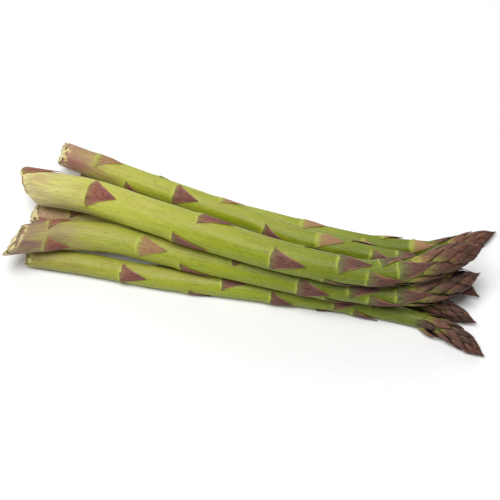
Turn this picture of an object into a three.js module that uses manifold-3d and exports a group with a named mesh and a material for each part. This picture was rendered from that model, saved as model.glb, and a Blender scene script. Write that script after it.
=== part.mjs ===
// A loose bunch of six green asparagus spears, lying down, with the cut ends at -X and the heads at +X.
// Millimetres, +Z up. The lowest spears lie on z = 0, and the origin is under the middle of the bunch.
// Each spear has two bodies: the green stem with its scattered bracts, and the purple head with its scales.
import * as THREE from "three";
import { mergeVertices } from "three/addons/utils/BufferGeometryUtils.js";
import Module from "manifold-3d";

const wasm = await Module();
wasm.setup();

// How finely the bodies are faceted.
const STEM_SIDES = 12;
const STEM_RING_STEP = 16;
const CORE_SIDES = 9;
const CORE_RINGS = 4;
const BRACT_GRID = [2, 4];
const SCALE_GRID = [2, 3];

// How leaves sit: one after the other round the stem by the golden angle.
const GOLDEN_ANGLE = 137.5;

// A leaf's shape. It stands out fully from a share of its length on, and less near the spear's tip.
const LEAF_SINK = 0.9;
const LEAF_ROOT_LEAST = 0.15;
const LEAF_TIP_HALF_WIDTH = 0.4;
const LEAF_RISE_SHARE = 0.4;
const OUTLINE_POWER = 0.85;
const BASE_CURVE = 0.14;
const FADE_LENGTH = 8;
const FADE_LEAST = 0.15;

// Bracts are the single leaves that cling to the stem.
const BRACT_HALF_WIDTH = 6.3;
const BRACT_HALF_ANGLE = 62;
const BRACT_STAND = 0.75;

// Scales overlap on the head, each nearer the tip than the last by this ratio.
const SCALE_RATIO = 0.84;
const SCALE_HALF_ANGLE = 66;
const SCALE_LAST = 5;
const SCALE_BASE_STAND = 0.5;
const SCALE_LENGTH_SHARE = 0.5;
const SCALE_LENGTH_LEAST = 4;

// The slim core in a head, by shares of the head's length and of the core's full radius.
const TIP_RADIUS = 0.5;
const CORE_INSET = 0.35;
const CORE_SHAPE = [
  [0.12, 0.5],
  [0.4, 0.95],
  [0.8, 1],
];

// Where the bare stem has its neck, by the head's length, and its middle and flare, by its own length.
const NECK_PLACE = 1.15;
const MIDDLE_PLACE = 0.45;
const FLARE_PLACE = 0.8;
const FLARE_SHARE = 0.7;

const NECK_GAP = 0.35;
const FLOOR_SINK = 0.35;
const CUT_BLEND = 24;
const CURVE_TENSION = 0.5;
const WELD_DISTANCE = 1e-4;

// The side of a spear that angles are measured from: up and to the front, 55 degrees above level.
const FRONT_RISE = THREE.MathUtils.degToRad(55);
const FRONT = new THREE.Vector3(0, -Math.cos(FRONT_RISE), Math.sin(FRONT_RISE));

const STEM_FINISH = { color: 0xa2ab55, roughness: 0.5, metalness: 0 };
const HEAD_FINISH = { color: 0x705346, roughness: 0.6, metalness: 0 };

// axis: the line through the middle, from the cut end to the tip.
// butt, middle, neck: radii of the bare stem. head: radius over the scales. headLength: from the tip.
// bracts: distance of each bract's base from the tip.
// firstAngle and turn: where the leaves' spiral starts and its sense.
// slant: how far the cut end runs out per millimetre, upwards and to the front.
// extraBracts and extraScales: leaves that don't follow the spiral, such as one that has opened.
const SPEARS = [
  {
    name: "spear_1",
    axis: [
      [-92.6, 52.8, 15.9],
      [-68.3, 41.6, 16.0],
      [-38.7, 29.4, 14.8],
      [-4.8, 16.8, 12.2],
      [23.8, 5.6, 10.0],
      [47.5, 0.0, 8.4],
      [64.0, -3.3, 7.2],
      [76.7, -6.5, 6.2],
      [87.8, -11.2, 5.5],
      [97.8, -16.7, 4.8],
      [106.2, -23.1, 4.3],
    ],
    butt: 6.0,
    middle: 5.0,
    neck: 4.0,
    head: 4.9,
    headLength: 37,
    leafLength: 12.5,
    bracts: [195, 177, 163.5, 152.5, 140, 130.5, 106, 96.5, 80.5, 72.5, 64.5, 54, 46.5, 42],
    firstAngle: 55,
    turn: -1,
    slant: [0.05, -0.55],
    extraBracts: [],
    extraScales: [],
  },
  {
    name: "spear_2",
    axis: [
      [-83.5, 47.3, 4.5],
      [-44.3, 35.6, 4.3],
      [0.0, 23.5, 4.2],
      [33.8, 13.1, 4.0],
      [57.7, 7.2, 3.8],
      [76.7, 4.5, 4.0],
      [90.9, 3.7, 4.8],
      [104.8, 7.9, 4.2],
      [118.0, 13.5, 3.5],
    ],
    butt: 4.5,
    middle: 4.2,
    neck: 3.7,
    head: 4.8,
    headLength: 38,
    leafLength: 11,
    bracts: [180, 152, 134, 116, 96.5, 79.5, 66.5, 57.5, 49.5, 43],
    firstAngle: -140,
    turn: 1,
    slant: [0.1, -0.1],
    extraBracts: [],
    extraScales: [],
  },
  {
    name: "spear_3",
    axis: [
      [-104.7, 31.1, 17.4],
      [-75.9, 20.6, 23.3],
      [-46.5, 5.3, 28.9],
      [-18.3, -7.9, 31.7],
      [9.1, -18.8, 32.4],
      [33.8, -25.6, 31.9],
      [51.7, -28.4, 31.3],
      [65.3, -28.0, 31.3],
      [76.7, -25.8, 31.1],
      [87.1, -21.6, 30.7],
      [97.1, -17.2, 30.2],
      [106.2, -12.9, 29.6],
    ],
    butt: 8.5,
    middle: 7.3,
    neck: 5.5,
    head: 6.8,
    headLength: 41,
    leafLength: 17,
    bracts: [173, 146.5, 137, 116, 99.5, 87, 75.5, 70, 62, 56.5, 51, 47, 43],
    firstAngle: 152.5,
    turn: 1,
    slant: [0.66, 0.15],
    extraBracts: [
      { at: 226, angle: 86, length: 16.5 },
      { at: 193.5, angle: 15, length: 16.5 },
    ],
    extraScales: [],
  },
  {
    name: "spear_4",
    axis: [
      [-105.3, 24.4, 4.6],
      [-72.7, 18.4, 4.6],
      [-38.4, 7.6, 4.5],
      [0.0, -5.0, 4.4],
      [37.7, -15.9, 4.2],
      [67.8, -23.6, 3.9],
      [83.7, -28.5, 4.7],
      [94.2, -32.5, 4.4],
      [103.5, -37.5, 4.0],
    ],
    butt: 4.6,
    middle: 4.4,
    neck: 3.9,
    head: 5.0,
    headLength: 38,
    leafLength: 11.5,
    bracts: [200.5, 170, 139, 111.5, 89, 69.5, 55, 43.5],
    firstAngle: 60,
    turn: 1,
    slant: [-0.24, -0.5],
    extraBracts: [],
    extraScales: [],
  },
  {
    name: "spear_5",
    axis: [
      [-110.8, -2.4, 19.6],
      [-89.4, 2.1, 17.6],
      [-66.0, 1.5, 15.9],
      [-42.2, -4.8, 15.5],
      [-9.3, -14.6, 16.8],
      [23.0, -24.0, 17.4],
      [45.8, -28.8, 17.2],
      [63.1, -30.8, 17.1],
      [75.4, -30.7, 17.2],
      [87.1, -28.0, 17.3],
      [96.5, -24.1, 17.3],
      [105.2, -20.1, 17.4],
    ],
    butt: 6.9,
    middle: 6.4,
    neck: 4.8,
    head: 6.4,
    headLength: 39,
    leafLength: 15.5,
    bracts: [184.5, 162.5, 153, 141, 117, 101.5, 85, 79, 73, 62, 57, 53, 48, 44, 40.5],
    firstAngle: -137,
    turn: 1,
    slant: [-0.85, -0.08],
    extraBracts: [
      { at: 208, angle: -50, length: 11.5 },
      { at: 208, angle: 78, length: 12 },
    ],
    extraScales: [{ at: 20, angle: 80, length: 18, lift: 2 }],
  },
  {
    name: "spear_6",
    axis: [
      [-105.3, -1.0, 5.3],
      [-80.7, -5.4, 5.4],
      [-47.2, -12.7, 5.1],
      [-14.1, -18.1, 4.9],
      [23.4, -24.0, 4.8],
      [51.2, -29.2, 4.3],
      [74.1, -34.8, 3.8],
      [87.4, -40.9, 5.1],
      [97.1, -47.3, 4.4],
      [105.8, -54.3, 2.5],
    ],
    butt: 5.3,
    middle: 4.9,
    neck: 3.7,
    head: 5.1,
    headLength: 35,
    leafLength: 12,
    bracts: [174.5, 158.5, 142, 126.5, 113.5, 103, 91, 81.5, 73.5, 68.5, 64, 56.5, 46.5],
    firstAngle: -16,
    turn: 1,
    slant: [-0.1, 0.05],
    extraBracts: [],
    extraScales: [{ at: 33, angle: -75, length: 12, lift: 1.2 }],
  },
];

// A smooth line through (place, value) knots, as cubic pieces with the slopes of their neighbours.
function smoothThrough(knots, place) {
  const last = knots.length - 1;
  const slopeAt = (i) => {
    const before = knots[Math.max(i - 1, 0)];
    const after = knots[Math.min(i + 1, last)];
    return (after[1] - before[1]) / (after[0] - before[0]);
  };
  if (place <= knots[0][0]) return knots[0][1];
  if (place >= knots[last][0]) return knots[last][1];
  const i = knots.findIndex((knot) => knot[0] > place) - 1;
  const span = knots[i + 1][0] - knots[i][0];
  const t = (place - knots[i][0]) / span;
  const fromStart = (1 + 2 * t) * (1 - t) ** 2 * knots[i][1] + t * (1 - t) ** 2 * span * slopeAt(i);
  const fromEnd = t * t * (3 - 2 * t) * knots[i + 1][1] - t * t * (1 - t) * span * slopeAt(i + 1);
  return fromStart + fromEnd;
}

// One spear's own frame: places are given by distance from the tip and by angle round the axis.
class Spear {
  constructor(sizes) {
    Object.assign(this, sizes);
    const points = sizes.axis.map(([x, y, z]) => new THREE.Vector3(x, y, z - FLOOR_SINK));
    this.curve = new THREE.CatmullRomCurve3(points, false, "catmullrom", CURVE_TENSION);
    this.length = this.curve.getLength();
    const core = this.neck - CORE_INSET;
    this.stand = this.head - core;
    this.radii = [
      [0, TIP_RADIUS],
      ...CORE_SHAPE.map(([place, share]) => [place * this.headLength, share * core]),
      [NECK_PLACE * this.headLength, this.neck],
      [MIDDLE_PLACE * this.length, this.middle],
      [FLARE_PLACE * this.length, THREE.MathUtils.lerp(this.middle, this.butt, FLARE_SHARE)],
      [this.length, this.butt],
    ];
  }

  // Radius of the bare stem, or of the core inside the head.
  radius(fromTip) {
    return smoothThrough(this.radii, fromTip);
  }

  // The point on the axis, the direction to the tip, and the upward and front directions across it.
  frame(fromTip) {
    const inside = THREE.MathUtils.clamp(fromTip, 0, this.length);
    const share = 1 - inside / this.length;
    const along = this.curve.getTangentAt(share);
    const centre = this.curve.getPointAt(share).addScaledVector(along, inside - fromTip);
    const front = FRONT.clone().addScaledVector(along, -along.dot(FRONT)).normalize();
    const up = new THREE.Vector3().crossVectors(front, along);
    return { centre, along, up, front };
  }

  // The point at a distance from the tip, a radius and an angle, with the slant of the cut end worked in.
  point(fromTip, radius, angle) {
    const upward = radius * Math.sin(angle);
    const frontward = radius * Math.cos(angle);
    const blend = THREE.MathUtils.clamp(1 - (this.length - fromTip) / CUT_BLEND, 0, 1);
    const slide = blend * (this.slant[0] * upward + this.slant[1] * frontward);
    const { centre, up, front } = this.frame(fromTip + slide);
    return centre.addScaledVector(up, upward).addScaledVector(front, frontward);
  }
}

// Moves every vertex of a geometry by a rule.
function reshape(geometry, rule) {
  const position = geometry.getAttribute("position");
  for (let i = 0; i < position.count; i += 1) {
    const moved = rule(position.getX(i), position.getY(i), position.getZ(i));
    position.setXYZ(i, moved.x, moved.y, moved.z);
  }
  return geometry;
}

// A closed geometry as a solid that can be joined and cut.
function solidOf(geometry) {
  geometry.deleteAttribute("normal");
  geometry.deleteAttribute("uv");
  const merged = mergeVertices(geometry, WELD_DISTANCE);
  const corners = [];
  for (let i = 0; i < merged.index.count; i += 3) {
    const [a, b, c] = [0, 1, 2].map((k) => merged.index.getX(i + k));
    if (a !== b && b !== c && c !== a) corners.push(a, b, c);
  }
  return new wasm.Manifold(
    new wasm.Mesh({
      numProp: 3,
      vertProperties: merged.getAttribute("position").array,
      triVerts: new Uint32Array(corners),
    }),
  );
}

// A turned body between two distances from the tip, bent along the spear's axis.
function turnedBody(spear, near, far, rings, sides) {
  const profile = [new THREE.Vector2(0, near)];
  for (let i = 0; i <= rings; i += 1) {
    const fromTip = near + ((far - near) * i) / rings;
    profile.push(new THREE.Vector2(spear.radius(fromTip), fromTip));
  }
  profile.push(new THREE.Vector2(0, far));
  const lathe = new THREE.LatheGeometry(profile, sides);
  return solidOf(reshape(lathe, (x, y, z) => spear.point(y, Math.hypot(x, z), Math.atan2(x, z))));
}

// A pointed leaf wrapped on the spear, with its root sunk into it and its outside standing proud.
function leaf(spear, { at, angle, length, halfAngle, baseStand, stand, grid, lift = 0 }) {
  const middle = THREE.MathUtils.degToRad(angle);
  const reach = THREE.MathUtils.degToRad(halfAngle);
  const [rows, columns] = grid;
  const sheet = new THREE.BoxGeometry(1, 1, 1, rows, columns, 1);
  return solidOf(
    reshape(sheet, (x, y, z) => {
      const t = x + 0.5;
      const across = 2 * y;
      const fromTip = at - length * (t + BASE_CURVE * across * across * (1 - t));
      const bare = spear.radius(fromTip);
      const fade = THREE.MathUtils.clamp((fromTip + 1) / FADE_LENGTH, FADE_LEAST, 1);
      const proud = THREE.MathUtils.lerp(baseStand, stand, Math.min(1, t / LEAF_RISE_SHARE));
      const outer = bare + (proud + lift * Math.sin(Math.PI * t)) * fade;
      const tipAngle = LEAF_TIP_HALF_WIDTH / Math.max(outer, 1);
      const half = Math.max(reach * (1 - t) ** OUTLINE_POWER, tipAngle);
      const radius = z > 0 ? outer : Math.max(bare - LEAF_SINK, LEAF_ROOT_LEAST);
      return spear.point(fromTip, radius, middle + across * half);
    }),
  );
}

function stemBody(spear) {
  const near = spear.headLength + NECK_GAP;
  const rings = Math.round((spear.length - near) / STEM_RING_STEP);
  let body = turnedBody(spear, near, spear.length, rings, STEM_SIDES);
  const bracts = spear.bracts.map((at, k) => ({
    at,
    angle: spear.firstAngle + spear.turn * GOLDEN_ANGLE * k,
    length: Math.min(spear.leafLength, at - near - NECK_GAP),
  }));
  for (const bract of [...bracts, ...spear.extraBracts]) {
    const widest = THREE.MathUtils.radToDeg(BRACT_HALF_WIDTH / spear.radius(bract.at));
    const shape = {
      halfAngle: Math.min(BRACT_HALF_ANGLE, widest),
      baseStand: BRACT_STAND,
      stand: BRACT_STAND,
      grid: BRACT_GRID,
    };
    body = body.add(leaf(spear, { ...bract, ...shape }));
  }
  return body;
}

function headBody(spear) {
  let body = turnedBody(spear, 0, spear.headLength, CORE_RINGS, CORE_SIDES);
  const scales = [...spear.extraScales];
  let angle = spear.firstAngle + spear.turn * GOLDEN_ANGLE * spear.bracts.length;
  for (let at = spear.headLength - NECK_GAP; at > SCALE_LAST; at *= SCALE_RATIO) {
    const length = Math.min(spear.leafLength, SCALE_LENGTH_SHARE * at + SCALE_LENGTH_LEAST);
    scales.push({ at, angle, length });
    angle += spear.turn * GOLDEN_ANGLE;
  }
  const shape = {
    halfAngle: SCALE_HALF_ANGLE,
    baseStand: SCALE_BASE_STAND,
    stand: spear.stand,
    grid: SCALE_GRID,
  };
  for (const scale of scales) {
    body = body.add(leaf(spear, { ...scale, ...shape }));
  }
  return body;
}

const FLOOR_DEPTH = 20;
const FLOOR_SIZE = 500;
const belowFloor = new THREE.BoxGeometry(FLOOR_SIZE, FLOOR_SIZE, FLOOR_DEPTH);
const floor = solidOf(belowFloor.translate(0, 0, -FLOOR_DEPTH / 2));

// The body with its underside pressed flat at z = 0, as a named mesh.
function meshOf(name, body, finish) {
  const { vertProperties, triVerts } = body.subtract(floor).getMesh();
  const geometry = new THREE.BufferGeometry();
  geometry.setAttribute("position", new THREE.BufferAttribute(vertProperties, 3));
  geometry.setIndex(new THREE.BufferAttribute(triVerts, 1));
  geometry.computeVertexNormals();
  const mesh = new THREE.Mesh(geometry, new THREE.MeshStandardMaterial(finish));
  mesh.name = name;
  return mesh;
}

const bunch = new THREE.Group();
for (const sizes of SPEARS) {
  const spear = new Spear(sizes);
  bunch.add(meshOf(`${spear.name}_stem`, stemBody(spear), STEM_FINISH));
  bunch.add(meshOf(`${spear.name}_head`, headBody(spear), HEAD_FINISH));
}

// The origin goes under the middle of the whole bunch.
const middle = new THREE.Box3().setFromObject(bunch).getCenter(new THREE.Vector3());
bunch.children.forEach((mesh) => mesh.geometry.translate(-middle.x, -middle.y, 0));

export default bunch;
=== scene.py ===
"""A loose bunch of six green asparagus spears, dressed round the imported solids.

Every spear is built in its own straightened frame, by distance from the tip and by angle round the
axis, and then bent along the same line as its solids. Sizes are in millimetres until a mesh is made.
"""

import logging
import math
from dataclasses import dataclass, field
from enum import Enum
from typing import Any, Iterable

import bpy
import numpy as np
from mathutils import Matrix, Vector


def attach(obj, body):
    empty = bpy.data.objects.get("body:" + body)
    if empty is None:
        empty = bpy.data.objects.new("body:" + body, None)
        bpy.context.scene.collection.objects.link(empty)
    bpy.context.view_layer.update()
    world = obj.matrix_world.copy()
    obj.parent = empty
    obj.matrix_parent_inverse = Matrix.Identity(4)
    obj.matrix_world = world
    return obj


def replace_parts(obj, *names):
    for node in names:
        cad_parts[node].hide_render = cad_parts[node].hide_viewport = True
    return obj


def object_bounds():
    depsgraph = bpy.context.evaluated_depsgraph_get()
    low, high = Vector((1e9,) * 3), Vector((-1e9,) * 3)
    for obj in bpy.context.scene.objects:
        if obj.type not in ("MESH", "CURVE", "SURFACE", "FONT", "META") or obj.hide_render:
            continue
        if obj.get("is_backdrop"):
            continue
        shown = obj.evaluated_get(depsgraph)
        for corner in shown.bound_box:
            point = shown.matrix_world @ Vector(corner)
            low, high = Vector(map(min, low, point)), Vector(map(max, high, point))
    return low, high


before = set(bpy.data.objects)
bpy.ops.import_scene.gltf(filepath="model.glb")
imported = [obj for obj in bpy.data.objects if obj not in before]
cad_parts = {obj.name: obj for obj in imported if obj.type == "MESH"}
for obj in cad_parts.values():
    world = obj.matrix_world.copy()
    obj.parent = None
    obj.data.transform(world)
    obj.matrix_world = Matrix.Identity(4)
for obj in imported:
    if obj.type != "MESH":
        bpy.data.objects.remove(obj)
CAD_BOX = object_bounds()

Array = np.ndarray
Vectors = dict[str, Array]
Colour = tuple[int, int, int]
Triple = tuple[float, float, float]

MM = 0.001
BODY = "root"

# The bunch's own middle, which the solids bring over the origin, and how far they sink to lie flat.
BUNCH_MIDDLE = np.array([1.65, 1.78, 0.35])

# Angles round a spear start at the side that faces up and to the front.
FRONT_RISE = math.radians(55)
FRONT = np.array([0.0, -math.cos(FRONT_RISE), math.sin(FRONT_RISE)])
GOLDEN_ANGLE = 137.5
CUT_BLEND = 24.0

# Edges bent more than this are sharp, and textures are moved by this much from spear to spear.
SHARP_ANGLE = math.radians(50)
BED_SHIFT = 31.0
LEAF_SHIFT = 17.0

log = logging.getLogger("asparagus")


class Slot(Enum):
    """The record's material slots."""

    STEM = "green_stem"
    LEAF = "purple_leaf"


def srgb(red: int, green: int, blue: int) -> tuple[float, float, float, float]:
    """A colour given in 0 to 255 screen values, as the linear colour that shaders use.

    Args:
        red: Screen value of red.
        green: Screen value of green.
        blue: Screen value of blue.

    Returns:
        The linear colour with full alpha.
    """
    linear = []
    for part in (red, green, blue):
        share = part / 255
        linear.append(share / 12.92 if share <= 0.04045 else ((share + 0.055) / 1.055) ** 2.4)
    return (*linear, 1.0)


def eased(share: Array) -> Array:
    """A smooth step from 0 to 1 over shares of 0 to 1."""
    held = np.clip(share, 0, 1)
    return held * held * (3 - 2 * held)


def wrapped(angle: Array) -> Array:
    """Angles in radians brought between minus and plus half a turn."""
    return (angle + math.pi) % (2 * math.pi) - math.pi


def smooth_through(knots: list[tuple[float, float]], places: Array) -> Array:
    """Values on a smooth line through knots, as cubic pieces with the slopes of their neighbours.

    Args:
        knots: Pairs of place and value, in order of place.
        places: Where the line is read.

    Returns:
        The value at each place, held level past the ends.
    """
    at, value = np.array(knots).T
    before = np.maximum(np.arange(len(at)) - 1, 0)
    after = np.minimum(np.arange(len(at)) + 1, len(at) - 1)
    slope = (value[after] - value[before]) / (at[after] - at[before])
    held = np.clip(places, at[0], at[-1])
    i = np.clip(np.searchsorted(at, held, side="right") - 1, 0, len(at) - 2)
    span = at[i + 1] - at[i]
    t = (held - at[i]) / span
    start = (1 + 2 * t) * (1 - t) ** 2 * value[i] + t * (1 - t) ** 2 * span * slope[i]
    end = t * t * (3 - 2 * t) * value[i + 1] - t * t * (1 - t) * span * slope[i + 1]
    return start + end


class Socket:
    """An output in a material's nodes, with arithmetic that adds Math nodes."""

    def __init__(self, nodes: "Nodes", link: Any) -> None:
        """Keeps the material's nodes and the output socket."""
        self.nodes = nodes
        self.link = link

    def _math(self, operation: str, *values: Any, clamp: bool = False) -> "Socket":
        """One Math node on the given values."""
        settings = {"operation": operation, "use_clamp": clamp}
        return self.nodes.add("ShaderNodeMath", settings, dict(enumerate(values)))

    def __add__(self, other: Any) -> "Socket":
        """This value plus another."""
        return self._math("ADD", self, other)

    def __radd__(self, other: Any) -> "Socket":
        """A number plus this value."""
        return self._math("ADD", other, self)

    def __sub__(self, other: Any) -> "Socket":
        """This value less another."""
        return self._math("SUBTRACT", self, other)

    def __rsub__(self, other: Any) -> "Socket":
        """A number less this value."""
        return self._math("SUBTRACT", other, self)

    def __mul__(self, other: Any) -> "Socket":
        """This value times another."""
        return self._math("MULTIPLY", self, other)

    def __rmul__(self, other: Any) -> "Socket":
        """A number times this value."""
        return self._math("MULTIPLY", other, self)

    def __abs__(self) -> "Socket":
        """The value without its sign."""
        return self._math("ABSOLUTE", self)

    def held(self) -> "Socket":
        """The value kept between 0 and 1."""
        return self._math("ADD", self, 0.0, clamp=True)

    def step(self, low: float, high: float) -> "Socket":
        """A smooth rise from 0 at low to 1 at high, or a fall where high is the lower of the two."""
        if low > high:
            return 1 - self.step(high, low)
        values = {"Value": self, "From Min": low, "From Max": high}
        return self.nodes.add("ShaderNodeMapRange", {"interpolation_type": "SMOOTHSTEP"}, values)


class Nodes:
    """The shader nodes of one material."""

    def __init__(self, name: str) -> None:
        """Starts a material of this name with an empty node tree."""
        self.material = bpy.data.materials.new(name)
        self.material.use_nodes = True
        self.tree = self.material.node_tree
        self.tree.nodes.clear()

    def add(self, kind: str, settings: dict[str, Any], values: dict[Any, Any], output: Any = 0) -> Socket:
        """Adds a node.

        Args:
            kind: The node's type.
            settings: Its own settings, set before its sockets. A ramp's stops come as "stops".
            values: Numbers, colours or sockets for its inputs, by name or place.
            output: The name or place of the output that is wanted.

        Returns:
            The wanted output.
        """
        node = self.tree.nodes.new(kind)
        for name, value in settings.items():
            if name == "stops":
                self._set_stops(node.color_ramp, value)
            else:
                setattr(node, name, value)
        for name, value in values.items():
            if isinstance(value, Socket):
                self.tree.links.new(value.link, node.inputs[name])
            else:
                node.inputs[name].default_value = value
        return Socket(self, node.outputs[output])

    @staticmethod
    def _set_stops(ramp: Any, stops: list[tuple[float, tuple[float, ...]]]) -> None:
        """Gives a colour ramp its stops."""
        while len(ramp.elements) < len(stops):
            ramp.elements.new(1.0)
        for element, (place, colour) in zip(ramp.elements, stops, strict=True):
            element.position = place
            element.color = colour

    def vector(self, name: str) -> Socket:
        """A vector that the mesh carries."""
        settings = {"attribute_type": "GEOMETRY", "attribute_name": name}
        return self.add("ShaderNodeAttribute", settings, {}, "Vector")

    def parts(self, name: str) -> list[Socket]:
        """The three parts of a vector that the mesh carries."""
        vector = self.vector(name)
        return [self.add("ShaderNodeSeparateXYZ", {}, {0: vector}, i) for i in range(3)]

    def scaled(self, vector: Socket, by: Triple) -> Socket:
        """A vector with each part multiplied by its own number."""
        return self.add("ShaderNodeVectorMath", {"operation": "MULTIPLY"}, {0: vector, 1: by})

    def noise(self, vector: Socket, scale: float, detail: float = 3.0, roughness: float = 0.55) -> Socket:
        """Cloudy noise between 0 and 1."""
        values = {"Vector": vector, "Scale": scale, "Detail": detail, "Roughness": roughness}
        return self.add("ShaderNodeTexNoise", {}, values, "Fac")

    def spots(self, vector: Socket, scale: float) -> Socket:
        """Distance to the nearest of many scattered points."""
        return self.add("ShaderNodeTexVoronoi", {}, {"Vector": vector, "Scale": scale}, "Distance")

    def mix(self, factor: Any, first: Any, second: Any, blend: str = "MIX") -> Socket:
        """One colour over another, by a factor."""
        settings = {"data_type": "RGBA", "blend_type": blend, "clamp_factor": True}
        return self.add("ShaderNodeMix", settings, {0: factor, 6: first, 7: second}, 2)

    def ramp(self, factor: Socket, stops: list[tuple[float, tuple[float, ...]]]) -> Socket:
        """A colour read from a ramp."""
        return self.add("ShaderNodeValToRGB", {"stops": stops}, {"Fac": factor}, "Color")

    def bump(self, height: Socket, distance: float, strength: float = 1.0) -> Socket:
        """A bumped normal, with its depth in millimetres."""
        values = {"Height": height, "Distance": distance * MM, "Strength": strength}
        return self.add("ShaderNodeBump", {}, values, "Normal")

    def finish(self, values: dict[str, Any]) -> bpy.types.Material:
        """Ends the material in a principled shader with these values."""
        shader = self.add("ShaderNodeBsdfPrincipled", {}, values, "BSDF")
        end = self.tree.nodes.new("ShaderNodeOutputMaterial")
        self.tree.links.new(shader.link, end.inputs["Surface"])
        return self.material


@dataclass(frozen=True)
class StemSkin:
    """The green skin of a stem, paler or mauve at the cut end, deeper green by the head, with a painted sheen
    on top.
    """

    butt: Colour = (188, 170, 104)
    low: Colour = (176, 180, 62)
    middle: Colour = (148, 159, 16)
    high: Colour = (114, 127, 4)
    neck: Colour = (88, 98, 6)
    mauve: Colour = (150, 96, 92)
    mauve_share: float = 0.5
    collar: Colour = (190, 200, 76)
    # Pale bloom for the fine streaks, and also the colour of the painted sheen on faces turned up.
    bloom: Colour = (172, 156, 92)
    speck: Colour = (96, 66, 40)
    flesh: Colour = (222, 210, 146)
    shadow: Colour = (186, 192, 128)
    streak_share: float = 0.6
    grain_share: float = 0.4
    pale_grain_share: float = 0.16
    fine_streak_share: float = 0.2
    collar_share: float = 0.6
    # How strong the painted sheen on faces turned up is.
    painted_top_sheen_share: float = 0.36
    speck_share: float = 0.75

    # How far each texture is drawn out along the stem.
    LONG_STREAKS = (0.06, 1.0, 1.0)
    FINE_STREAKS = (0.12, 1.0, 1.0)
    CLOUDS = (0.12, 0.5, 0.5)
    GRAIN = (0.5, 1.0, 1.0)
    PITS = (0.45, 1.0, 1.0)

    def material(self, name: str) -> bpy.types.Material:
        """Builds the finish.

        Args:
            name: The material's name.

        Returns:
            The material, which reads the mesh vectors "bed" and "marks".
        """
        nodes = Nodes(name)
        bed = nodes.vector("bed")
        collar, butt, share = nodes.parts("marks")
        long_streaks = nodes.noise(nodes.scaled(bed, self.LONG_STREAKS), 1.3, 5.0, 0.65)
        fine_streaks = nodes.noise(nodes.scaled(bed, self.FINE_STREAKS), 3.0, 3.0, 0.6)
        clouds = nodes.noise(nodes.scaled(bed, self.CLOUDS), 0.45, 3.0)
        grainy = nodes.noise(nodes.scaled(bed, self.GRAIN), 1.1, 6.0, 0.75)
        pits = nodes.spots(nodes.scaled(bed, self.PITS), 0.62)
        worn = nodes.noise(bed, 0.3, 2.0).step(0.46, 0.6)
        torn = nodes.noise(bed, 0.5, 4.0, 0.6)
        height = self._upward(nodes)
        stops = [
            (0.0, srgb(*self.neck)),
            (0.24, srgb(*self.high)),
            (0.52, srgb(*self.middle)),
            (0.82, srgb(*self.low)),
            (1.0, srgb(*self.butt)),
        ]
        colour = nodes.ramp((share + 0.16 * (clouds - 0.5)).held(), stops)
        darker = nodes.mix(1.0, colour, srgb(*self.shadow), "MULTIPLY")
        colour = nodes.mix(self.streak_share * long_streaks.step(0.46, 0.7), colour, darker)
        colour = nodes.mix(self.grain_share * grainy.step(0.48, 0.68), colour, darker)
        pale = self.pale_grain_share * grainy.step(0.46, 0.34)
        colour = nodes.mix(pale, colour, srgb(*self.collar))
        fine = self.fine_streak_share * fine_streaks.step(0.52, 0.75)
        colour = nodes.mix(fine, colour, srgb(*self.bloom))
        patches = (clouds + 0.35 * long_streaks).step(0.52, 0.82)
        colour = nodes.mix(self.mauve_share * butt * patches, colour, srgb(*self.mauve))
        colour = nodes.mix(self.collar_share * collar, colour, srgb(*self.collar))
        # Painted sheen: faces turned up are lightened towards the bloom colour, as light from above would do.
        painted_top_sheen = height * (0.35 + 0.65 * clouds.step(0.38, 0.62)) * share.step(0.2, 0.55)
        streaky = (0.5 + long_streaks).held()
        colour = nodes.mix(self.painted_top_sheen_share * painted_top_sheen * streaky, colour, srgb(*self.bloom))
        colour = nodes.mix(self.speck_share * share.step(0.991, 0.999), colour, srgb(*self.speck))
        frayed = share.step(0.972, 0.996) * torn.step(0.5, 0.56)
        colour = nodes.mix(frayed, colour, srgb(*self.flesh))
        colour = nodes.mix(self.speck_share * pits.step(0.17, 0.1) * worn, colour, srgb(*self.speck))
        roughness = 0.4 + 0.22 * fine_streaks + 0.1 * height
        relief = fine_streaks * 0.6 + long_streaks * 0.4 - 0.5 * pits.step(0.13, 0.05) * worn
        return nodes.finish(
            {
                "Base Color": colour,
                "Roughness": roughness.held(),
                "Normal": nodes.bump(relief, 0.22),
                "Subsurface Weight": 0.12,
                "Subsurface Radius": (1.0, 0.9, 0.3),
                "Subsurface Scale": 1.2 * MM,
                "Specular IOR Level": 0.42,
                "Coat Weight": 0.06,
                "Coat Roughness": 0.3,
            }
        )

    @staticmethod
    def _upward(nodes: Nodes) -> Socket:
        """How far the surface faces up, from 0 to 1."""
        normal = nodes.add("ShaderNodeNewGeometry", {}, {}, "Normal")
        return nodes.add("ShaderNodeSeparateXYZ", {}, {0: normal}, 2).step(0.7, 0.98)


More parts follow.
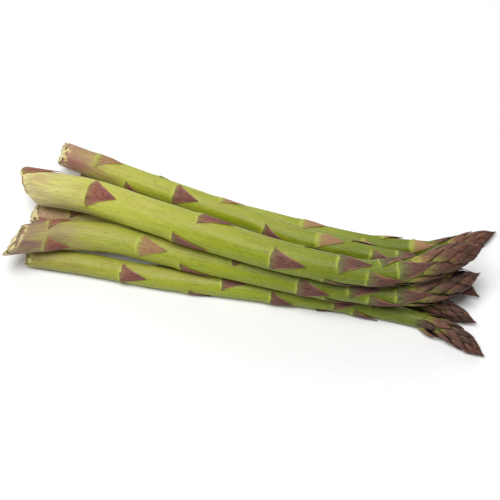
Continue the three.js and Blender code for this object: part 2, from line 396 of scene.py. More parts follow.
@dataclass(frozen=True)
class LeafSkin:
    """The skin of a bract or scale: a green base that turns purple-brown, with a thin edge, reddish on bracts
    and dark as painted shade on head scales.
    """

    collar: Colour = (164, 172, 70)
    base: Colour = (150, 132, 74)
    body: Colour = (148, 90, 74)
    tip: Colour = (122, 70, 58)
    edge: Colour = (184, 136, 108)
    streak: Colour = (84, 52, 44)
    bloom: Colour = (164, 122, 106)
    tan: Colour = (160, 130, 84)
    # Painted shade for the crevices between scales.
    crevice_shade: Colour = (34, 18, 12)
    shadow: Colour = (180, 194, 204)
    # How strongly the painted crevice shade is laid on.
    crevice_shade_share: float = 0.0
    rim_share: float = 0.5
    tan_share: float = 0.7
    bloom_share: float = 0.45

    # How far each texture is drawn out along the leaf, and how far the painted crevice shade reaches.
    RIBS = (0.12, 1.0, 1.0)
    MOTTLE = (0.5, 1.0, 1.0)
    CREVICE_SHADE_REACH = 3.0

    def material(self, name: str) -> bpy.types.Material:
        """Builds the finish.

        Args:
            name: The material's name.

        Returns:
            The material, which reads the mesh vectors "bed" and "leaf".
        """
        nodes = Nodes(name)
        bed = nodes.vector("bed")
        along, across, _ = nodes.parts("leaf")
        green, tan, depth = nodes.parts("kind")
        ribs = nodes.noise(nodes.scaled(bed, self.RIBS), 1.9, 4.0, 0.7)
        mottle = nodes.noise(nodes.scaled(bed, self.MOTTLE), 1.3, 4.0, 0.65)
        patchy = (0.16 + 0.24 * green) * (mottle - 0.5)
        reach = (along * (1 - 0.36 * green) + 0.24 * (1 - green) * (1 - 0.7 * tan) + patchy).held()
        stops = [
            (0.0, srgb(*self.collar)),
            (0.1, srgb(*self.collar)),
            (0.24, srgb(*self.base)),
            (0.44, srgb(*self.body)),
            (1.0, srgb(*self.tip)),
        ]
        dry = self.tan_share * tan * reach.step(0.1, 0.3)
        colour = nodes.mix(dry, nodes.ramp(reach, stops), srgb(*self.tan))
        colour = nodes.mix((0.8 - 0.4 * tan) * ribs.step(0.47, 0.63), colour, srgb(*self.streak))
        colour = nodes.mix(self.bloom_share * mottle.step(0.48, 0.68), colour, srgb(*self.bloom))
        shade = nodes.mix(1.0, colour, srgb(*self.shadow), "MULTIPLY")
        colour = nodes.mix(depth * (1 - tan), colour, shade)
        # On head scales the edge colour is dark: painted shade beside each scale's edge, where it lies over
        # the next scale.
        margin = abs(across).step(0.78, 0.94) * along.step(0.1, 0.3)
        colour = nodes.mix(self.rim_share * margin, colour, srgb(*self.edge))
        # Painted shade: where the piece's own nearby surfaces close in, the colour darkens towards a
        # near-black brown.
        nearby = {"samples": 8, "only_local": True}
        reach_out = {"Distance": self.CREVICE_SHADE_REACH * MM}
        open_sky = nodes.add("ShaderNodeAmbientOcclusion", nearby, reach_out, "AO")
        colour = nodes.mix(self.crevice_shade_share * open_sky.step(0.97, 0.55), colour, srgb(*self.crevice_shade))
        roughness = 0.5 + 0.2 * ribs
        return nodes.finish(
            {
                "Base Color": colour,
                "Roughness": roughness.held(),
                "Normal": nodes.bump(ribs * 0.7 + mottle * 0.3, 0.3),
                "Subsurface Weight": 0.06,
                "Subsurface Radius": (1.0, 0.5, 0.3),
                "Subsurface Scale": 0.8 * MM,
                "Specular IOR Level": 0.25,
            }
        )


@dataclass(frozen=True)
class CutFace:
    """The pale fibrous face of a cut end, a little brown and dry round its rim."""

    flesh: Colour = (238, 226, 168)
    ring: Colour = (190, 178, 108)
    fibre: Colour = (168, 142, 84)
    rim: Colour = (142, 108, 76)

    def material(self, name: str) -> bpy.types.Material:
        """Builds the finish.

        Args:
            name: The material's name.

        Returns:
            The material, which reads the mesh vectors "bed" and "marks".
        """
        nodes = Nodes(name)
        bed = nodes.vector("bed")
        outward, _, _ = nodes.parts("marks")
        fibres = nodes.spots(nodes.scaled(bed, (0.1, 1.0, 1.0)), 0.9)
        clouds = nodes.noise(bed, 0.5, 4.0)
        edge = (outward + 0.2 * (clouds - 0.5)).held()
        colour = nodes.mix(edge.step(0.45, 0.85), srgb(*self.flesh), srgb(*self.ring))
        colour = nodes.mix(0.8 * fibres.step(0.3, 0.1), colour, srgb(*self.fibre))
        colour = nodes.mix(0.85 * edge.step(0.88, 0.99), colour, srgb(*self.rim))
        return nodes.finish(
            {
                "Base Color": colour,
                "Roughness": (0.42 + 0.25 * clouds).held(),
                "Normal": nodes.bump(clouds + 0.6 * fibres, 0.3),
                "Subsurface Weight": 0.15,
                "Subsurface Radius": (1.0, 0.8, 0.4),
                "Subsurface Scale": 1.5 * MM,
            }
        )


@dataclass
class Surface:
    """Points, faces and mesh vectors of a surface while it is being put together."""

    points: list[Array] = field(default_factory=list)
    faces: list[Array] = field(default_factory=list)
    finishes: list[Array] = field(default_factory=list)
    vectors: dict[str, list[Array]] = field(default_factory=dict)
    count: int = 0

    def put(self, points: Array, faces: Array, vectors: Vectors, finish: int = 0) -> None:
        """Adds points with their faces.

        Args:
            points: Places in millimetres, one a row.
            faces: Corners of each face, counted from the first of these points.
            vectors: Mesh vectors for these points, by name.
            finish: Which of the piece's materials the faces wear.
        """
        self.points.append(points)
        self.faces.append(faces + self.count)
        self.finishes.append(np.full(len(faces), finish))
        for name, values in vectors.items():
            self.vectors.setdefault(name, []).append(values)
        self.count += len(points)

    def piece(self, name: str, materials: Iterable[bpy.types.Material], slot: Slot) -> bpy.types.Object:
        """Makes the object, which rides on the bunch's one body.

        Args:
            name: The piece's name.
            materials: Its materials, in the order that the faces count them.
            slot: Not used.

        Returns:
            The new object.
        """
        mesh = bpy.data.meshes.new(name)
        places = (np.concatenate(self.points) - BUNCH_MIDDLE) * MM
        places[:, 2] = np.maximum(places[:, 2], 0.0)
        corners = [face for block in self.faces for face in block.tolist()]
        mesh.from_pydata(places.tolist(), [], corners)
        mesh.polygons.foreach_set("material_index", np.concatenate(self.finishes))
        mesh.polygons.foreach_set("use_smooth", np.ones(len(corners), dtype=bool))
        for title, blocks in self.vectors.items():
            layer = mesh.attributes.new(title, "FLOAT_VECTOR", "POINT")
            layer.data.foreach_set("vector", np.concatenate(blocks).astype(np.float32).ravel())
        mesh.set_sharp_from_angle(angle=SHARP_ANGLE)
        for material in materials:
            mesh.materials.append(material)
        made = bpy.data.objects.new(name, mesh)
        bpy.context.scene.collection.objects.link(made)
        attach(made, BODY)
        log.info("%s: %d points, %d faces", name, len(places), len(corners))
        return made


def grid_faces(rows: int, columns: int, closed: bool = False) -> Array:
    """Four-sided faces of a grid of points.

    Args:
        rows: Number of rows of points.
        columns: Number of points in a row.
        closed: Whether each row's last point joins its first.

    Returns:
        Corner numbers, one face a row.
    """
    across = columns if closed else columns - 1
    i, j = np.meshgrid(np.arange(rows - 1), np.arange(across), indexing="ij")
    beside = (j + 1) % columns
    corners = [i * columns + j, i * columns + beside, (i + 1) * columns + beside, (i + 1) * columns + j]
    return np.stack([c.ravel() for c in corners], axis=1)


@dataclass(frozen=True)
class Leaf:
    """One bract or scale: where its base is, how long, wide and proud it is, and how it is coloured.

    Fullness is 0 for a bract's pointed outline and 1 for a scale's fuller one. Green, tan and depth
    are shares from 0 to 1 of an olive base, a dry tan colour and a darker shade.
    """

    at: float
    angle: float
    length: float
    reach: float
    base_stand: float
    stand: float
    lift: float = 0.0
    curl: float = 0.0
    seed: float = 0.5
    fullness: float = 0.0
    green: float = 0.0
    tan: float = 0.0
    depth: float = 0.0


class AxisLine:
    """The bent line through the middle of a spear, read by distance from the tip."""

    SAMPLES = 48

    def __init__(self, points: list[Triple]) -> None:
        """Samples the smooth line through the points, from the cut end to the tip."""
        given = np.array(points)
        before = 2 * given[:1] - given[1:2]
        after = 2 * given[-1:] - given[-2:-1]
        held = np.concatenate([before, given, after])
        t = np.linspace(0, 1, self.SAMPLES, endpoint=False)[:, None]
        places, slopes = [], []
        for a, b, c, d in zip(held, held[1:], held[2:], held[3:]):
            start, end = 0.5 * (c - a), 0.5 * (d - b)
            second = -3 * b + 3 * c - 2 * start - end
            third = 2 * b - 2 * c + start + end
            places.append(b + t * start + t**2 * second + t**3 * third)
            slopes.append(start + 2 * t * second + 3 * t**2 * third)
        places.append(given[-1:])
        slopes.append(0.5 * (after - given[-2:-1]))
        self.places = np.concatenate(places)
        slope = np.concatenate(slopes)
        self.slopes = slope / np.linalg.norm(slope, axis=1, keepdims=True)
        steps = np.linalg.norm(np.diff(self.places, axis=0), axis=1)
        self.run = np.concatenate([[0.0], np.cumsum(steps)])
        self.length = float(self.run[-1])

    def read(self, from_tip: Array) -> tuple[Array, Array, Array]:
        """The middle of the spear and its upward and front directions.

        Args:
            from_tip: Distances from the tip. Past either end the line runs on straight.

        Returns:
            Points on the axis, upward directions and front directions, one a row.
        """
        inside = np.clip(from_tip, 0, self.length)
        run = self.length - inside
        along = np.stack([np.interp(run, self.run, self.slopes[:, k]) for k in range(3)], axis=1)
        along /= np.linalg.norm(along, axis=1, keepdims=True)
        middle = np.stack([np.interp(run, self.run, self.places[:, k]) for k in range(3)], axis=1)
        middle += along * (inside - from_tip)[:, None]
        front = FRONT - along * (along @ FRONT)[:, None]
        front /= np.linalg.norm(front, axis=1, keepdims=True)
        return middle, np.cross(front, along), front


@dataclass
class Spear:
    """One spear. Lengths run from the tip, and angles round the axis from its front side."""

    number: int
    axis: list[Triple]
    butt: float
    middle: float
    neck: float
    head: float
    head_length: float
    leaf_length: float
    bracts: list[float]
    first_angle: float
    slant: tuple[float, float]
    turn: int = 1
    skin: StemSkin = field(default_factory=StemSkin)
    bract_skin: LeafSkin = field(default_factory=LeafSkin)
    scale_skin: LeafSkin = field(default_factory=LeafSkin)
    tan_leaves: tuple[int, ...] = ()
    extra_bracts: list[tuple[float, float, float, float]] = field(default_factory=list)
    extra_scales: list[tuple[float, float, float, float]] = field(default_factory=list)

    # How finely the meshes are made.
    SIDES = 80
    RING_STEP = 0.8
    CUT_RINGS = 9
    LEAF_ROWS = 18
    LEAF_COLUMNS = 13

    # The slim core in a head, by shares of the head's length and the core's radius.
    TIP_RADIUS = 0.35
    CORE_INSET = 0.35
    CORE_SHAPE = ((0.12, 0.5), (0.4, 0.95), (0.8, 1.0))

    # The places of the neck, by the head's length, and of the middle and flare, by the spear's.
    NECK_PLACE = 1.15
    MIDDLE_PLACE = 0.45
    FLARE_PLACE = 0.8
    FLARE_SHARE = 0.7

    # Bracts, which stand prouder and have greener bases near the head.
    BRACT_HALF_WIDTH = 6.3
    BRACT_REACH = 62.0
    BRACT_BASE_STAND = 0.62
    BRACT_STAND = 0.7
    NEAR_HEAD_STAND = 0.5
    NEAR_HEAD_GREEN = 0.5
    NEAR_HEAD_RUN = 70.0
    EXTRA_BRACT_REACH = 54.0
    EXTRA_BRACT_BASE_STAND = 0.6

    # Scales, each nearer the tip than the last by the ratio.
    SCALE_RATIO = 0.945
    LAST_SCALE = 3.0
    SCALE_REACH = 45.0
    SCALE_LENGTH_SHARE = 0.36
    SCALE_LENGTH_LEAST = 3.5
    SCALE_BASE_STAND = 0.2
    SCALE_STAND_SHARE = 1.12
    EXTRA_SCALE_BASE_STAND = 0.35

    # The swelling under a bract, and the light collar on it.
    SWELL = 0.5
    SWELL_PLACE = 0.4
    SWELL_RUN = 2.8
    COLLAR_START = 0.8
    COLLAR_RUN = 1.7

    # The skin's relief, and the rounded rim, frayed edge and dished face of the cut end.
    RIDGE = 0.035
    LUMP = 0.1
    RIM = 0.35
    RIM_RUN = 1.2
    FRAY = 0.32
    FRAY_RUN = 1.6
    DISH = 0.5
    DISH_RIPPLE = 0.09
    DISH_CENTRE = 0.04
    BUTT_RUN = 42.0
    TIP_POINT = 0.3

    # A leaf's blade, which is thinner at its sides and tip.
    BLADE = 0.32
    BLADE_SIDE_LOSS = 0.18
    BLADE_TIP_LOSS = 0.45
    BLADE_TIP_WIDTH = 0.12
    BLADE_LEAST_RADIUS = 0.06
    RAGGED = 0.035
    BASE_WAVE = 0.22
    BLADE_WAVE = 0.05
    TIP_FADE_RUN = 8.0
    TIP_SKEW = math.radians(16)

    def __post_init__(self) -> None:
        """Works out the axis, the radii and the spear's own random numbers."""
        self.line = AxisLine(self.axis)
        self.length = self.line.length
        self.random = np.random.default_rng(100 + self.number)
        core = self.neck - self.CORE_INSET
        self.stand = self.head - self.neck + self.CORE_INSET
        flare = (1 - self.FLARE_SHARE) * self.middle + self.FLARE_SHARE * self.butt
        self.radii = [
            (0.0, self.TIP_RADIUS),
            *((place * self.head_length, share * core) for place, share in self.CORE_SHAPE),
            (self.NECK_PLACE * self.head_length, self.neck),
            (self.MIDDLE_PLACE * self.length, self.middle),
            (self.FLARE_PLACE * self.length, flare),
            (self.length, self.butt),
        ]
        self.bract_leaves = self._bract_leaves()
        self.scale_leaves = self._scale_leaves()

    def radius(self, from_tip: Array) -> Array:
        """Radius of the bare stem, or of the core inside the head."""
        return smooth_through(self.radii, from_tip)

    def place(self, from_tip: Array, radius: Array, angle: Array) -> Array:
        """Points on the spear, with the slant of the cut end worked in.

        Args:
            from_tip: Distances from the tip.
            radius: Distances from the axis.
            angle: Angles round the axis, in radians.

        Returns:
            Points in millimetres, one a row.
        """
        upward, frontward = radius * np.sin(angle), radius * np.cos(angle)
        blend = np.clip(1 - (self.length - from_tip) / CUT_BLEND, 0, 1)
        slide = blend * (self.slant[0] * upward + self.slant[1] * frontward)
        fray = np.sin(5 * angle + self.number) + 0.7 * np.sin(11 * angle) + 0.5 * np.sin(23 * angle)
        at_end = eased((from_tip - self.length + self.FRAY_RUN) / self.FRAY_RUN)
        slide += self.FRAY * fray * (radius / self.butt) ** 2 * at_end
        middle, up, front = self.line.read(from_tip + slide)
        return middle + up * upward[:, None] + front * frontward[:, None]

    def _bract_leaves(self) -> list[Leaf]:
        """The single leaves along the stem, by the golden angle."""
        leaves = []
        for k, at in enumerate(self.bracts):
            bare = float(self.radius(np.array([at]))[0])
            reach = min(self.BRACT_REACH, math.degrees(self.BRACT_HALF_WIDTH / bare))
            length = self.leaf_length * self.random.uniform(0.9, 1.08)
            reach = reach * self.random.uniform(0.92, 1.06)
            curl = self.random.uniform(0.0, 0.5) ** 2
            angle = self.first_angle + self.turn * GOLDEN_ANGLE * k
            near_head = max(0.0, 1 - (at - self.head_length) / self.NEAR_HEAD_RUN)
            seed = self.random.random()
            leaf = Leaf(
                at, angle, length, reach, self.BRACT_BASE_STAND,
                stand=self.BRACT_STAND + self.NEAR_HEAD_STAND * near_head,
                curl=curl,
                seed=seed,
                green=self.NEAR_HEAD_GREEN * near_head,
                tan=float(k in self.tan_leaves),
                depth=1.2 - (at - self.head_length) / (self.length - self.head_length) - 0.3 * seed,
            )
            leaves.append(leaf)
        for at, angle, length, lift in self.extra_bracts:
            reach, base = self.EXTRA_BRACT_REACH, self.EXTRA_BRACT_BASE_STAND
            leaves.append(Leaf(at, angle, length, reach, base, self.BRACT_STAND, lift=lift, seed=0.4))
        return leaves

    def _scale_leaves(self) -> list[Leaf]:
        """The overlapping scales of the head, by the golden angle, each nearer the tip than the last."""
        leaves = []
        angle = self.first_angle + self.turn * GOLDEN_ANGLE * len(self.bracts)
        at = self.head_length
        while at > self.LAST_SCALE:
            longest = min(self.leaf_length, self.SCALE_LENGTH_SHARE * at + self.SCALE_LENGTH_LEAST)
            length = longest * self.random.uniform(0.9, 1.08)
            reach = self.SCALE_REACH * self.random.uniform(0.9, 1.08)
            seed = self.random.random()
            leaf = Leaf(
                at, angle, length, reach, self.SCALE_BASE_STAND,
                stand=self.SCALE_STAND_SHARE * self.stand,
                seed=seed,
                fullness=1.0,
                green=(at / self.head_length) ** 0.7 * self.random.uniform(0.7, 1.0),
                depth=seed,
            )
            leaves.append(leaf)
            angle += self.turn * GOLDEN_ANGLE
            at *= self.SCALE_RATIO
        for at, angle, length, lift in self.extra_scales:
            leaf = Leaf(
                at, angle, length, self.SCALE_REACH, self.EXTRA_SCALE_BASE_STAND,
                stand=self.stand, lift=lift, seed=0.2, fullness=0.8, green=0.8, tan=0.3, depth=0.3,
            )
            leaves.append(leaf)
        return leaves

    def _bed(self, from_tip: Array, radius: Array, angle: Array) -> Array:
        """Where points lie in the straightened spear, moved apart for each spear, for its textures."""
        straight = np.stack([from_tip, radius * np.sin(angle), radius * np.cos(angle)], axis=1)
        return straight + BED_SHIFT * self.number

    def _swelling(self, from_tip: Array, angle: Array) -> tuple[Array, Array]:
        """How the stem swells into each bract, and how light its collar is there.

        Args:
            from_tip: Distances from the tip.
            angle: Angles round the axis, in radians.

        Returns:
            The swelling in millimetres, and the collar's share from 0 to 1.
        """
        swell, collar = np.zeros_like(from_tip), np.zeros_like(from_tip)
        for leaf in self.bract_leaves:
            away = np.abs(wrapped(angle - math.radians(leaf.angle)))
            beside = eased(1.25 - away / math.radians(leaf.reach))
            before = from_tip - leaf.at + 0.04 * leaf.length * (away / math.radians(leaf.reach)) ** 2
            crest = np.exp(-(((before - self.SWELL_PLACE) / self.SWELL_RUN) ** 2))
            swell = np.maximum(swell, self.SWELL * beside * crest)
            start = eased((before + self.COLLAR_START) / self.COLLAR_START)
            collar = np.maximum(collar, beside * start * eased(1 - before / self.COLLAR_RUN))
        return swell, collar

    def _skin_points(self, from_tip: Array, angle: Array, inset: Array) -> tuple[Array, Vectors]:
        """Points of the skin with its ridges, swellings and mesh vectors.

        Args:
            from_tip: Distances from the tip.
            angle: Angles round the axis, in radians.
            inset: How far the points are drawn in, in millimetres.

        Returns:
            The points, and the mesh vectors "bed" and "marks" by name.
        """
        bare = self.radius(from_tip)
        phase = 1.7 * self.number
        ridges = np.sin(9 * angle + phase + 0.02 * from_tip) + 0.6 * np.sin(17 * angle - phase)
        lumps = np.sin(0.11 * from_tip + phase) * np.sin(2 * angle + phase) + 0.7 * np.sin(0.047 * from_tip)
        swell, collar = self._swelling(from_tip, angle)
        stem = eased((from_tip - 0.7 * self.head_length) / (0.3 * self.head_length))
        radius = bare + stem * (self.RIDGE * ridges + self.LUMP * lumps + swell) - inset
        butt = eased(1 - (self.length - from_tip) / self.BUTT_RUN)
        share = (from_tip - 0.5 * self.head_length) / (self.length - 0.5 * self.head_length)
        marks = np.stack([collar, butt, np.clip(share, 0, 1)], axis=1)
        vectors = {"bed": self._bed(from_tip, bare, angle), "marks": marks}
        return self.place(from_tip, radius, angle), vectors

    def build_skin(self) -> bpy.types.Object:
        """Makes the stem's skin, from inside the tip to the cut face."""
        surface = Surface()
        rings = int(self.length / self.RING_STEP)
        turns = np.arange(self.SIDES) * 2 * math.pi / self.SIDES
        run = np.linspace(0, self.length, rings)
        from_tip = np.repeat(run, self.SIDES)
        angle = np.tile(turns, rings)
        rim = self.RIM * eased((run - self.length + self.RIM_RUN) / self.RIM_RUN)
        points, vectors = self._skin_points(from_tip, angle, np.repeat(rim, self.SIDES))
        surface.put(points, grid_faces(rings, self.SIDES, closed=True), vectors)
        self._put_cut_face(surface, turns)
        self._put_tip(surface)
        name = f"spear_{self.number}_stem"
        finishes = [self.skin.material(f"{name}_skin"), CutFace().material(f"{name}_cut")]
        made = surface.piece(f"{name}_skin_mesh", finishes, Slot.STEM)
        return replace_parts(made, name)

    def _put_cut_face(self, surface: Surface, turns: Array) -> None:
        """Adds the cut face, slightly dished and rough."""
        outward = np.repeat(np.linspace(1.0, self.DISH_CENTRE, self.CUT_RINGS), self.SIDES)
        angle = np.tile(turns, self.CUT_RINGS)
        radius = (self.butt - self.RIM) * outward
        ripple = self.DISH_RIPPLE * np.sin(5 * angle + 9 * outward) * (1 - outward)
        dish = self.DISH * (1 - outward**2) + ripple
        from_tip = np.full_like(outward, self.length)
        inner, end = self.line.read(np.array([self.length - 1.0, self.length]))[0]
        points = self.place(from_tip, radius, angle) + (inner - end) * dish[:, None]
        bed = self._bed(from_tip, radius, angle)
        marks = np.stack([outward, np.ones_like(outward), np.ones_like(outward)], axis=1)
        faces = grid_faces(self.CUT_RINGS, self.SIDES, closed=True)
        surface.put(points, faces, {"bed": bed, "marks": marks}, finish=1)
        last = (self.CUT_RINGS - 1) * self.SIDES
        side = np.arange(self.SIDES)
        fan = last + np.stack([side, (side + 1) % self.SIDES], axis=1) - len(points)
        middle = {"bed": bed[last:].mean(axis=0, keepdims=True), "marks": np.array([[0.0, 1.0, 1.0]])}
        self._put_fan(surface, points[last:].mean(axis=0, keepdims=True), fan, middle, finish=1)

    def _put_tip(self, surface: Surface) -> None:
        """Closes the tip of the core over its first ring."""
        point = self.place(np.array([-self.TIP_POINT]), np.array([0.0]), np.array([0.0]))
        side = np.arange(self.SIDES)
        fan = np.stack([(side + 1) % self.SIDES, side], axis=1) - surface.count
        vectors = {"bed": np.full((1, 3), BED_SHIFT * self.number), "marks": np.zeros((1, 3))}
        self._put_fan(surface, point, fan, vectors, finish=0)

    @staticmethod
    def _put_fan(surface: Surface, centre: Array, edges: Array, vectors: Vectors, finish: int) -> None:
        """Adds a fan of triangles from edges, counted back from the surface's end, to a new point."""
        faces = np.concatenate([edges, np.zeros((len(edges), 1), dtype=int)], axis=1)
        surface.put(centre, faces, vectors, finish)

    def _blade_width(self, leaf: Leaf, t: Array, across: Array) -> Array:
        """A leaf's half width in radians at shares t of its length, a little ragged at its sides."""
        pointed = 1 - leaf.fullness
        outline = (1 - t) ** (0.7 + 0.3 * pointed) * (1 - 0.13 * pointed * np.sin(math.pi * t))
        outline = outline * (1 - leaf.fullness * (0.3 - 0.3 * eased(t / 0.3)))
        waves = np.sin(19 * t + 40 * leaf.seed + across) + 0.7 * np.sin(43 * t + 70 * leaf.seed)
        return math.radians(leaf.reach) * outline * (1 + self.RAGGED * waves * np.abs(across) ** 3)

    def _blade_stand(self, leaf: Leaf, t: Array, across: Array) -> Array:
        """How proud a leaf is at shares t of its length: more at its middle, and flat again at its tip."""
        pointed = 1 - leaf.fullness
        rise = pointed * eased(2.2 * t) + leaf.fullness * (1.3 * t**0.8 - 0.45 * t**3)
        proud = leaf.base_stand + (leaf.stand - leaf.base_stand) * rise
        proud = proud - (0.22 + 0.04 * pointed) * leaf.stand * across**2 * eased(3 * t)
        return proud + leaf.lift * np.sin(math.pi * t) + leaf.curl * 2.4 * np.maximum(t - 0.7, 0)

    def _put_leaf(self, surface: Surface, leaf: Leaf) -> None:
        """Adds one leaf as a thin closed blade."""
        rows, columns = self.LEAF_ROWS, self.LEAF_COLUMNS
        t = np.repeat(np.linspace(0, 1, rows) ** 1.05, columns)
        across = np.tile(np.linspace(-1, 1, columns), rows)
        bow = 0.16 - 0.12 * (1 - leaf.fullness)
        from_tip = leaf.at - leaf.length * (t + bow * across**2 * (1 - t))
        from_tip = from_tip + self.BASE_WAVE * np.sin(6 * across + 30 * leaf.seed) * (1 - t)
        fade = np.clip((from_tip + 1) / self.TIP_FADE_RUN, 0.15, 1)
        proud = self._blade_stand(leaf, t, across)
        wave = self.BLADE_WAVE * np.sin(9 * across + 30 * leaf.seed) * (1 - t)
        outer = self.radius(from_tip) + proud * fade + wave
        least = self.BLADE_TIP_WIDTH / np.maximum(outer, 0.8)
        skew = self.TIP_SKEW * (leaf.seed - 0.5) * t**2
        half = np.maximum(self._blade_width(leaf, t, across), least)
        angle = math.radians(leaf.angle) + skew + across * half
        thickness = (self.BLADE - self.BLADE_SIDE_LOSS * across**2) * (1 - self.BLADE_TIP_LOSS * t)
        points, bed = [], []
        for radius in (outer, outer - thickness):
            held = np.maximum(radius, self.BLADE_LEAST_RADIUS)
            points.append(self.place(from_tip, held, angle))
            bed.append(self._bed(from_tip, held, angle))
        marks = np.tile(np.stack([t, across, np.zeros_like(t)], axis=1), (2, 1))
        kind = np.tile([leaf.green, leaf.tan, leaf.depth], (len(marks), 1))
        vectors = {"bed": np.concatenate(bed) + LEAF_SHIFT * leaf.seed, "leaf": marks, "kind": kind}
        surface.put(np.concatenate(points), self._blade_faces(), vectors)

    def _blade_faces(self) -> Array:
        """The faces of a closed blade: its top, its underside and the strip round its edge."""
        grid = np.arange(self.LEAF_ROWS * self.LEAF_COLUMNS).reshape(self.LEAF_ROWS, self.LEAF_COLUMNS)
        edge = np.concatenate([grid[:-1, 0], grid[-1, :-1], grid[:0:-1, -1], grid[0, :0:-1]])
        after = np.roll(edge, -1)
        sides = np.stack([after, edge, edge + grid.size, after + grid.size], axis=1)
        top = grid_faces(*grid.shape)
        return np.concatenate([top[:, ::-1], top + grid.size, sides])

    def build_leaves(self) -> None:
        """Makes the bracts of the stem and the scales of the head, each set as one piece."""
        sets = [
            ("bracts", self.bract_leaves, self.bract_skin, "stem"),
            ("scales", self.scale_leaves, self.scale_skin, "head"),
        ]
        for title, leaves, skin, solid in sets:
            surface = Surface()
            for leaf in leaves:
                self._put_leaf(surface, leaf)
            name, node = f"spear_{self.number}_{title}", f"spear_{self.number}_{solid}"
            made = surface.piece(name, [skin.material(f"{name}_skin")], Slot.LEAF)
            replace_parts(made, node)


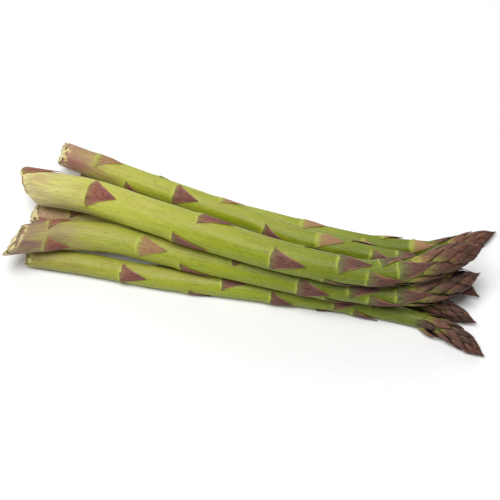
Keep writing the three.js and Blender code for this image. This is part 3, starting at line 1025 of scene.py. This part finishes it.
@dataclass
class Bunch:
    """The six spears, from the back of the pile to the front."""

    def spears(self) -> Iterable[Spear]:
        """The spears with their sizes and finishes, one after another."""
        mauve_end = StemSkin(butt=(172, 134, 116), mauve_share=0.95)
        grey_end = StemSkin(butt=(148, 118, 96), low=(166, 168, 68), mauve=(126, 90, 84), mauve_share=0.95)
        tan_end = StemSkin(butt=(222, 210, 152), low=(192, 194, 82), mauve_share=0.45)
        green_end = StemSkin(butt=(152, 150, 62), low=(160, 164, 52), middle=(150, 162, 34), mauve_share=0.25)
        # The head skins paint shade: a dark edge beside each scale, and darkened crevices between the scales.
        dark_head = LeafSkin(
            collar=(146, 150, 50), base=(138, 120, 66), body=(120, 80, 65), tip=(99, 62, 51),
            edge=(58, 32, 26), bloom=(138, 110, 90), streak=(58, 34, 28), crevice_shade_share=0.95, rim_share=0.8,
        )
        tan_head = LeafSkin(
            collar=(164, 160, 64), base=(150, 126, 70), body=(126, 80, 62), tip=(104, 60, 48),
            edge=(78, 44, 36), bloom=(150, 116, 94), streak=(66, 38, 30), crevice_shade_share=0.95, rim_share=0.8,
        )
        yield Spear(
            number=1,
            axis=[
                (-92.6, 52.8, 15.9), (-68.3, 41.6, 16.0), (-38.7, 29.4, 14.8), (-4.8, 16.8, 12.2),
                (23.8, 5.6, 10.0), (47.5, 0.0, 8.4), (64.0, -3.3, 7.2), (76.7, -6.5, 6.2),
                (87.8, -11.2, 5.5), (97.8, -16.7, 4.8), (106.2, -23.1, 4.3),
            ],
            butt=6.0, middle=5.0, neck=4.0, head=4.9, head_length=37, leaf_length=12.5,
            bracts=[195, 177, 163.5, 152.5, 140, 130.5, 106, 96.5, 80.5, 72.5, 64.5, 54, 46.5, 42],
            first_angle=55, turn=-1, slant=(0.05, -0.55), skin=mauve_end, scale_skin=tan_head,
            tan_leaves=(0, 5, 8),
        )
        yield Spear(
            number=2,
            axis=[
                (-83.5, 47.3, 4.5), (-44.3, 35.6, 4.3), (0.0, 23.5, 4.2), (33.8, 13.1, 4.0),
                (57.7, 7.2, 3.8), (76.7, 4.5, 4.0), (90.9, 3.7, 4.8), (104.8, 7.9, 4.2),
                (118.0, 13.5, 3.5),
            ],
            butt=4.5, middle=4.2, neck=3.7, head=4.8, head_length=38, leaf_length=11,
            bracts=[180, 152, 134, 116, 96.5, 79.5, 66.5, 57.5, 49.5, 43],
            first_angle=-140, slant=(0.1, -0.1), skin=green_end, scale_skin=tan_head,
            tan_leaves=(4, 6, 7, 9),
        )
        yield Spear(
            number=3,
            axis=[
                (-104.7, 31.1, 17.4), (-75.9, 20.6, 23.3), (-46.5, 5.3, 28.9), (-18.3, -7.9, 31.7),
                (9.1, -18.8, 32.4), (33.8, -25.6, 31.9), (51.7, -28.4, 31.3), (65.3, -28.0, 31.3),
                (76.7, -25.8, 31.1), (87.1, -21.6, 30.7), (97.1, -17.2, 30.2), (106.2, -12.9, 29.6),
            ],
            butt=8.5, middle=7.3, neck=5.5, head=6.8, head_length=41, leaf_length=17,
            bracts=[173, 146.5, 137, 116, 99.5, 87, 75.5, 70, 62, 56.5, 51, 47, 43],
            first_angle=152.5, slant=(0.66, 0.15), skin=tan_end, scale_skin=tan_head,
            extra_bracts=[(226, 86, 16.5, 0), (193.5, 15, 16.5, 0)],
        )
        yield Spear(
            number=4,
            axis=[
                (-105.3, 24.4, 4.6), (-72.7, 18.4, 4.6), (-38.4, 7.6, 4.5), (0.0, -5.0, 4.4),
                (37.7, -15.9, 4.2), (67.8, -23.6, 3.9), (83.7, -28.5, 4.7), (94.2, -32.5, 4.4),
                (103.5, -37.5, 4.0),
            ],
            butt=4.6, middle=4.4, neck=3.9, head=5.0, head_length=38, leaf_length=11.5,
            bracts=[200.5, 170, 139, 111.5, 89, 69.5, 55, 43.5],
            first_angle=60, slant=(-0.24, -0.5), skin=mauve_end, scale_skin=dark_head,
        )
        yield Spear(
            number=5,
            axis=[
                (-110.8, -2.4, 19.6), (-89.4, 2.1, 17.6), (-66.0, 1.5, 15.9), (-42.2, -4.8, 15.5),
                (-9.3, -14.6, 16.8), (23.0, -24.0, 17.4), (45.8, -28.8, 17.2), (63.1, -30.8, 17.1),
                (75.4, -30.7, 17.2), (87.1, -28.0, 17.3), (96.5, -24.1, 17.3), (105.2, -20.1, 17.4),
            ],
            butt=6.9, middle=6.4, neck=4.8, head=6.4, head_length=39, leaf_length=15.5,
            bracts=[184.5, 162.5, 153, 141, 117, 101.5, 85, 79, 73, 62, 57, 53, 48, 44, 40.5],
            first_angle=-137, slant=(-0.85, -0.08), skin=grey_end, scale_skin=dark_head,
            tan_leaves=(1,), extra_bracts=[(208, -50, 11.5, 0), (208, 78, 12, 0)],
            extra_scales=[(20, 80, 18, 2)],
        )
        yield Spear(
            number=6,
            axis=[
                (-105.3, -1.0, 5.3), (-80.7, -5.4, 5.4), (-47.2, -12.7, 5.1), (-14.1, -18.1, 4.9),
                (23.4, -24.0, 4.8), (51.2, -29.2, 4.3), (74.1, -34.8, 3.8), (87.4, -40.9, 5.1),
                (97.1, -47.3, 4.4), (105.8, -54.3, 2.5),
            ],
            butt=5.3, middle=4.9, neck=3.7, head=5.1, head_length=35, leaf_length=12,
            bracts=[174.5, 158.5, 142, 126.5, 113.5, 103, 91, 81.5, 73.5, 68.5, 64, 56.5, 46.5],
            first_angle=-16, slant=(-0.1, 0.05), skin=green_end, scale_skin=dark_head,
            extra_scales=[(33, -75, 12, 1.2)],
        )

    def build(self) -> None:
        """Makes every piece of every spear."""
        for spear in self.spears():
            spear.build_skin()
            spear.build_leaves()


@dataclass
class Studio:
    """A plain pale floor, soft light from above and behind, and the camera."""

    floor_size: float = 6.0
    target: Triple = (0.0, 0.0, 8.0)
    distance: float = 660.0
    elevation: float = 55.0
    lens: float = 100.0
    sensor: float = 36.0
    sky: float = 0.18
    paper: tuple[int, int] = (236, 240)
    paper_grain: float = 400.0
    key: Triple = (-0.2, -0.22, 1.05)
    key_size: float = 0.6
    key_power: float = 12.5
    back: Triple = (0.3, 0.9, 0.6)
    back_size: float = 1.0
    back_power: float = 4.5

    def build(self) -> None:
        """Makes the floor, the lights and the camera."""
        self._floor()
        self._sky()
        self._area("key", self.key, self.key_size, self.key_power)
        self._area("back", self.back, self.back_size, self.back_power)
        self._camera()
        bpy.context.scene.view_settings.view_transform = "Standard"

    def _floor(self) -> None:
        """A pale floor under the bunch."""
        half = self.floor_size / 2
        mesh = bpy.data.meshes.new("floor")
        corners = [(-half, -half, 0), (half, -half, 0), (half, half, 0), (-half, half, 0)]
        mesh.from_pydata(corners, [], [(0, 1, 2, 3)])
        nodes = Nodes("floor_paper")
        where = nodes.add("ShaderNodeTexCoord", {}, {}, "Object")
        grain = nodes.noise(where, self.paper_grain, 2.0)
        dark, light = self.paper
        colour = nodes.mix(grain, srgb(dark, dark, dark), srgb(light, light, light))
        mesh.materials.append(nodes.finish({"Base Color": colour, "Roughness": 0.8}))
        floor = bpy.data.objects.new("floor", mesh)
        bpy.context.scene.collection.objects.link(floor)
        floor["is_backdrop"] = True

    def _sky(self) -> None:
        """Even white light from all round."""
        world = bpy.data.worlds.new("studio")
        world.use_nodes = True
        background = world.node_tree.nodes["Background"]
        background.inputs["Color"].default_value = (1, 1, 1, 1)
        background.inputs["Strength"].default_value = self.sky
        bpy.context.scene.world = world

    @staticmethod
    def _area(name: str, place: Triple, size: float, power: float) -> None:
        """A soft square light that points at the bunch."""
        data = bpy.data.lights.new(name, "AREA")
        data.size = size
        data.energy = power
        lamp = bpy.data.objects.new(name, data)
        lamp.location = place
        lamp.rotation_mode = "QUATERNION"
        lamp.rotation_quaternion = (-Vector(place)).to_track_quat("-Z", "Y")
        bpy.context.scene.collection.objects.link(lamp)

    def _camera(self) -> None:
        """The camera, at the photograph's angle and framing."""
        rise = math.radians(self.elevation)
        back = np.array([0.0, -math.cos(rise), math.sin(rise)])
        place = np.array(self.target) + back * self.distance - BUNCH_MIDDLE * (1, 1, 0)
        data = bpy.data.cameras.new("camera")
        data.lens = self.lens
        data.sensor_width = self.sensor
        data.clip_start = 0.01
        camera = bpy.data.objects.new("camera", data)
        camera.location = Vector(place * MM)
        camera.rotation_euler = (math.radians(90 - self.elevation), 0.0, 0.0)
        bpy.context.scene.collection.objects.link(camera)
        bpy.context.scene.camera = camera


def write_sizes() -> None:
    """Gathers the solids' box and the dressed model's box, and keeps neither."""
    boxes = {"cad": CAD_BOX, "visual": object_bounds()}
    {name: [list(corner) for corner in box] for name, box in boxes.items()}


def main() -> None:
    """Builds the studio and the bunch."""
    logging.basicConfig(level=logging.INFO, format="%(name)s: %(message)s")
    Studio().build()
    Bunch().build()
    write_sizes()


if __name__ == "__main__":
    main()
